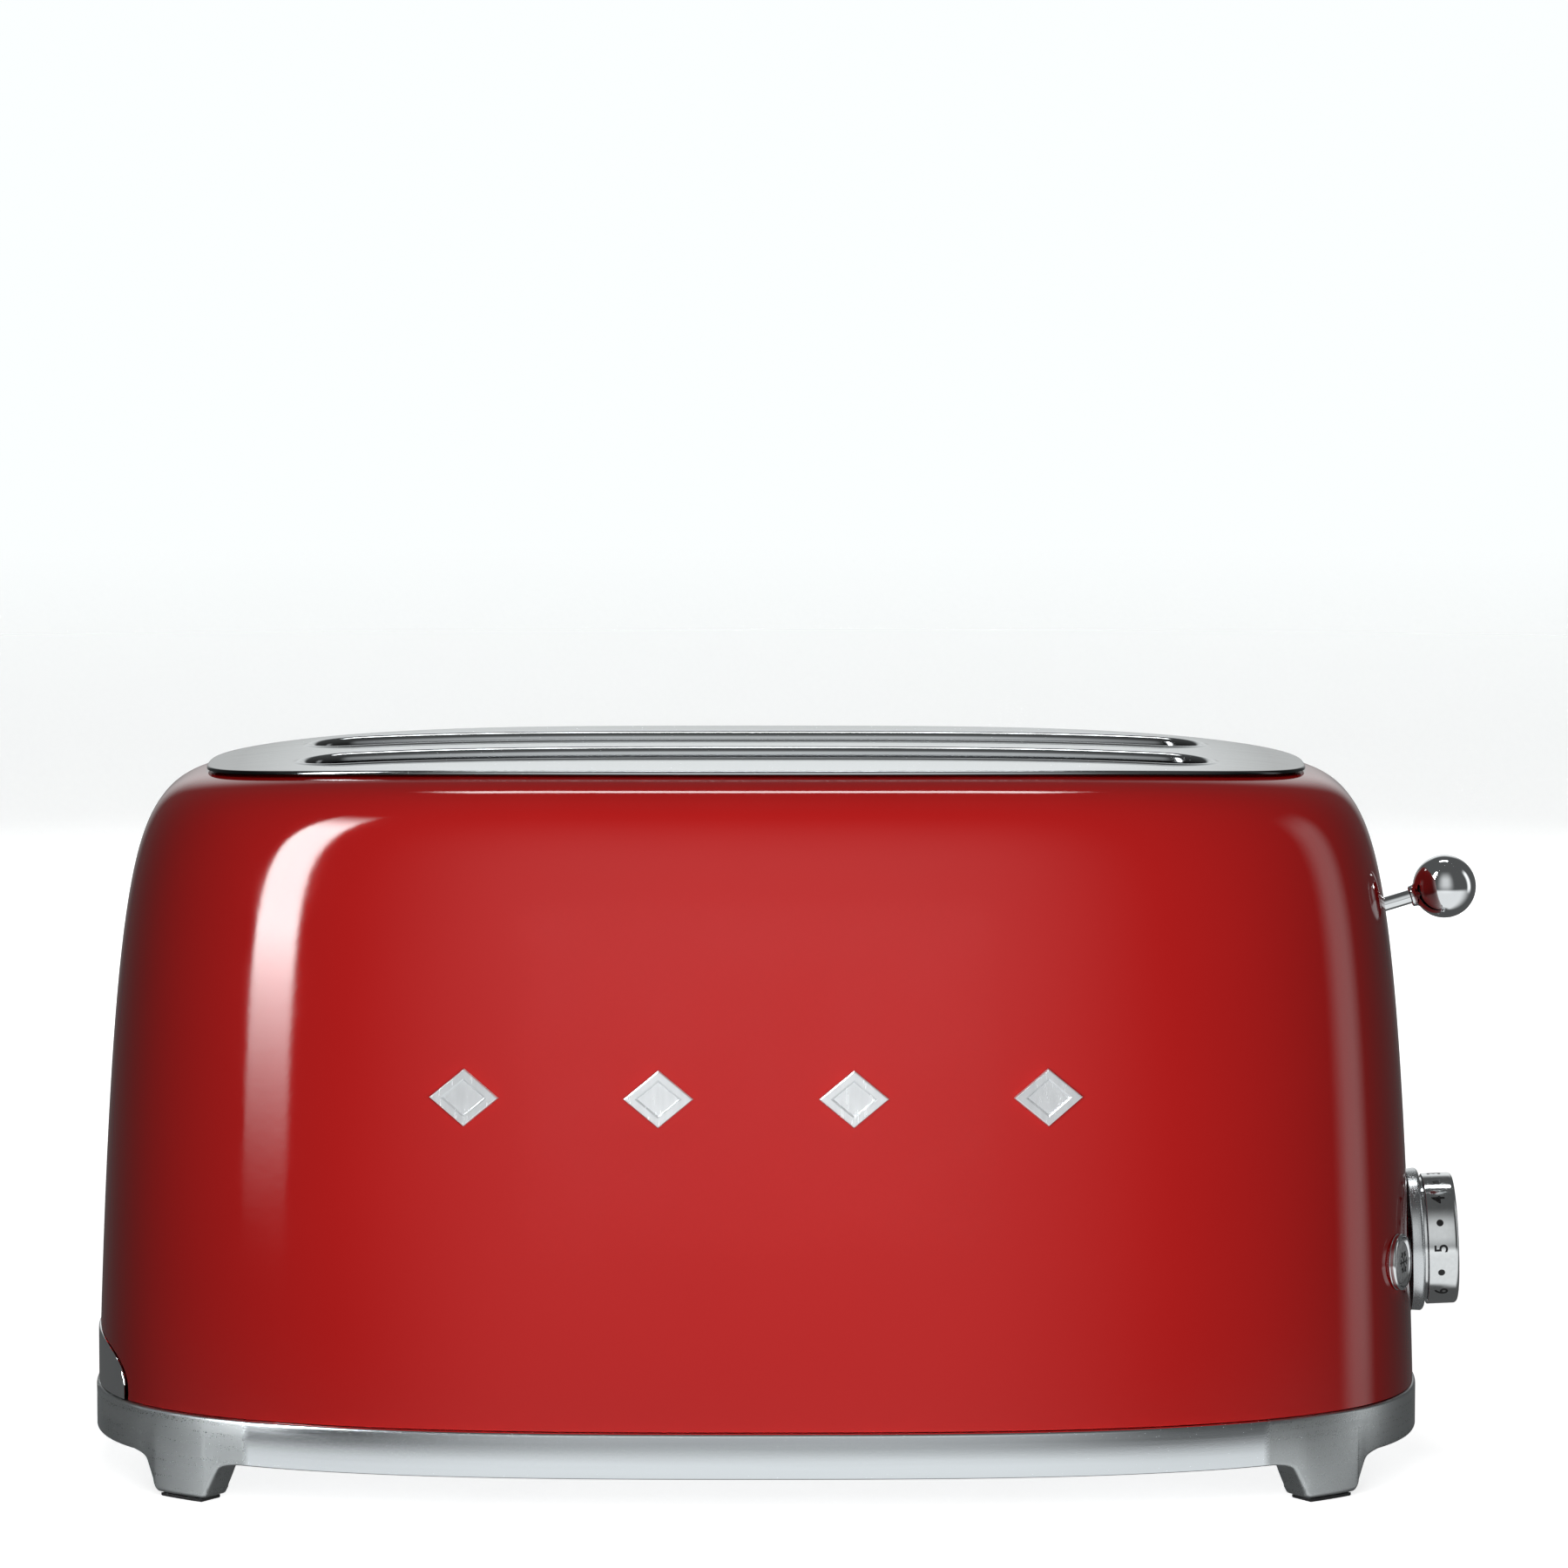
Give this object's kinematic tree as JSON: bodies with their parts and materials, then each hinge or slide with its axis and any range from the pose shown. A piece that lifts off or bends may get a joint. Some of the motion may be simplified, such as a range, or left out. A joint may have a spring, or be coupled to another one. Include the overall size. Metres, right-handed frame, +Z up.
{
  "type": "pop up toaster",
  "caption": "Long-slot pop-up toaster with rounded red shell, polished slotted top, footed metal ring, ball lever, browning knob and crumb tray.",
  "frame": {"origin": "centre of the whole object's plan box, on the surface it stands on", "axes": "+X along the length towards the lever and the knob, -Y towards the front with the emblems, +Z up"},
  "size_m": [0.3942, 0.208, 0.2051],
  "materials": {
    "red_paint": "glossy baked enamel",
    "polished_steel": "polished stainless steel",
    "satin_metal": "fine satin, lightly blasted",
    "chrome": "mirror chrome plate",
    "zinc_steel": "zinc coated sheet",
    "rubber": "matt moulded",
    "mica": "mica board, satin flakes",
    "heater_alloy": "resistance ribbon, dull",
    "black_plastic": "moulded, satin",
    "pale_plastic": "moulded, smooth",
    "circuit_board": "solder mask, satin",
    "copper_winding": "enamelled copper wire"
  },
  "bodies": {
    "root": {"base_ring": "satin_metal", "base_screw_1": "zinc_steel", "base_screw_2": "zinc_steel", "base_screw_3": "zinc_steel", "base_screw_4": "zinc_steel", "bottom_plate": "zinc_steel", "cancel_button_bezel": "chrome", "cancel_switch": "black_plastic", "control_board": "circuit_board", "cord_gland": "black_plastic", "defrost_button_bezel": "chrome", "defrost_switch": "black_plastic", "electromagnet_coil": "copper_winding", "electromagnet_core": "zinc_steel", "end_plate_left": "zinc_steel", "end_plate_right": "zinc_steel", "foot_pad_front_left": "rubber", "foot_pad_front_right": "rubber", "foot_pad_rear_left": "rubber", "foot_pad_rear_right": "rubber", "front_emblem_1": "chrome", "front_emblem_2": "chrome", "front_emblem_3": "chrome", "front_emblem_4": "chrome", "guide_rod": "polished_steel", "heat_shield_front": "zinc_steel", "heat_shield_rear": "zinc_steel", "heater_board_centre": "mica", "heater_board_front": "mica", "heater_board_rear": "mica", "heater_ribbon_centre": "heater_alloy", "heater_ribbon_front": "heater_alloy", "heater_ribbon_rear": "heater_alloy", "knob_bezel": "satin_metal", "mains_terminal_block": "pale_plastic", "outer_shell": "red_paint", "potentiometer_body": "zinc_steel", "power_switch_block": "black_plastic", "return_spring": "polished_steel", "top_plate": "polished_steel", "tray_rail_front": "zinc_steel", "tray_rail_rear": "zinc_steel"},
    "carriage": {"carriage_bracket": "zinc_steel", "bread_rack_front": "zinc_steel", "bread_rack_rear": "zinc_steel", "carriage_yoke": "zinc_steel", "armature_plate": "zinc_steel", "lever_rod": "polished_steel", "lever_ball": "chrome"},
    "knob": {"browning_knob": "chrome", "potentiometer_shaft": "zinc_steel"},
    "defrost_button": {"defrost_button": "pale_plastic"},
    "cancel_button": {"cancel_button": "pale_plastic"},
    "crumb_tray": {"crumb_tray": "zinc_steel", "crumb_tray_pull": "chrome"},
    "guard_front_outer": {"bread_guard_front_outer": "zinc_steel"},
    "guard_front_inner": {"bread_guard_front_inner": "zinc_steel"},
    "guard_rear_inner": {"bread_guard_rear_inner": "zinc_steel"},
    "guard_rear_outer": {"bread_guard_rear_outer": "zinc_steel"}
  },
  "joints": [
    {"name": "carriage_slide", "type": "slide", "parent": "root", "child": "carriage", "axis": [0, 0, 1], "range_m": [-0.065, 0], "stiffness_N_per_m": 60, "springref_m": 0.1, "deforming": ["return_spring"]},
    {"name": "knob_turn", "type": "hinge", "parent": "root", "child": "knob", "pos_m": [0.17787, 0, 0.0618], "axis": [0.9991, 0, 0.0419], "range_deg": [-135, 90]},
    {"name": "defrost_press", "type": "slide", "parent": "root", "child": "defrost_button", "axis": [-0.9262, 0.3742, -0.0453], "range_m": [0, 0.0012], "stiffness_N_per_m": 400, "springref_m": -0.0015},
    {"name": "cancel_press", "type": "slide", "parent": "root", "child": "cancel_button", "axis": [-0.9262, -0.3742, -0.0453], "range_m": [0, 0.0012], "stiffness_N_per_m": 400, "springref_m": -0.0015},
    {"name": "crumb_tray_slide", "type": "slide", "parent": "root", "child": "crumb_tray", "axis": [-1, 0, 0], "range_m": [0, 0.33]},
    {"name": "guard_front_outer_tilt", "type": "hinge", "parent": "root", "child": "guard_front_outer", "pos_m": [-0.00855, -0.04, 0.046], "axis": [1, 0, 0], "range_deg": [-5.2, 0.2]},
    {"name": "guard_front_inner_tilt", "type": "hinge", "parent": "root", "child": "guard_front_inner", "pos_m": [-0.00855, -0.009, 0.046], "axis": [1, 0, 0], "range_deg": [-0.2, 5.2]},
    {"name": "guard_rear_inner_tilt", "type": "hinge", "parent": "root", "child": "guard_rear_inner", "pos_m": [-0.00855, 0.009, 0.046], "axis": [1, 0, 0], "range_deg": [-5.2, 0.2]},
    {"name": "guard_rear_outer_tilt", "type": "hinge", "parent": "root", "child": "guard_rear_outer", "pos_m": [-0.00855, 0.04, 0.046], "axis": [1, 0, 0], "range_deg": [-0.2, 5.2]}
  ],
  "couplings": [
    {"joint": "guard_front_outer_tilt", "follows": "carriage_slide", "rad_per_m": 1.3426},
    {"joint": "guard_front_inner_tilt", "follows": "carriage_slide", "rad_per_m": -1.3426},
    {"joint": "guard_rear_inner_tilt", "follows": "carriage_slide", "rad_per_m": 1.3426},
    {"joint": "guard_rear_outer_tilt", "follows": "carriage_slide", "rad_per_m": -1.3426}
  ]
}
